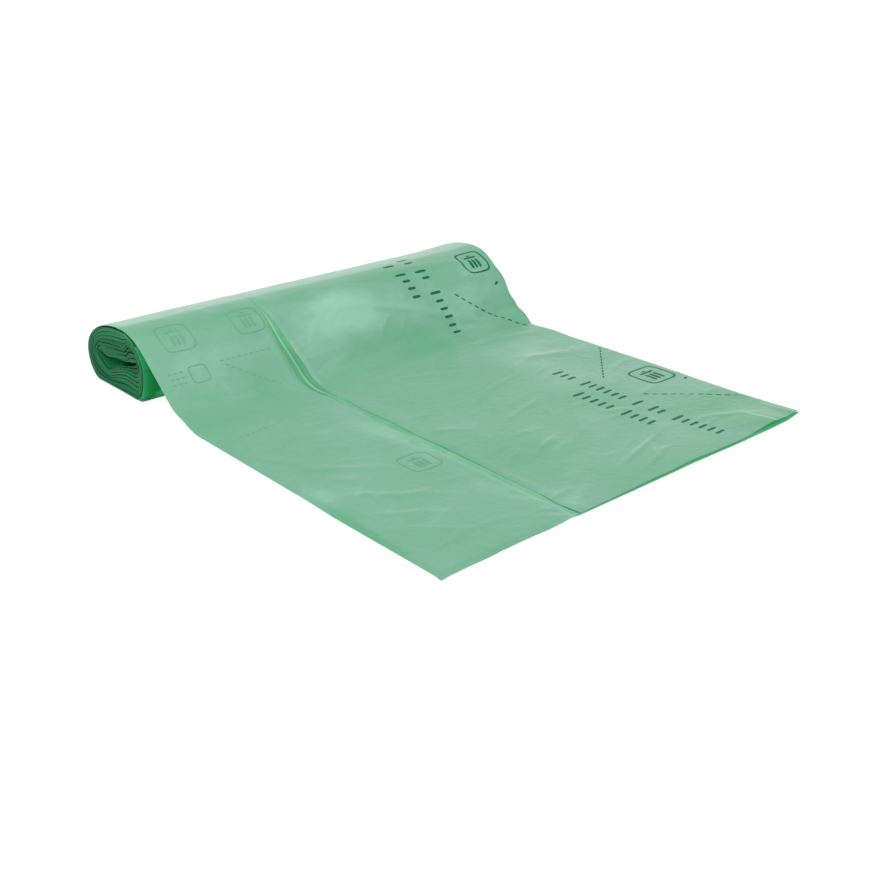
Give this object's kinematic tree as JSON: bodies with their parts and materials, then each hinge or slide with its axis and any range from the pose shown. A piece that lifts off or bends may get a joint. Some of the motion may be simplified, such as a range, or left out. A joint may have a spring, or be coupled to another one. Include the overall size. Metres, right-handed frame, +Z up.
{
  "type": "bin bag roll",
  "caption": "Flattened coreless roll of green compostable refuse sacks, with the leading folded sack drawn off the roll and laid out flat in front.",
  "frame": {"origin": "centre of the underside of the whole object's box, on the surface it lies on", "axes": "+X along the roll, +Y from the laid sack's open mouth towards the roll, +Z up"},
  "size_m": [0.6, 0.7086, 0.0915],
  "materials": {
    "film": "satin, faintly translucent"
  },
  "bodies": {
    "root": {"bag_roll": "film"}
  },
  "joints": []
}
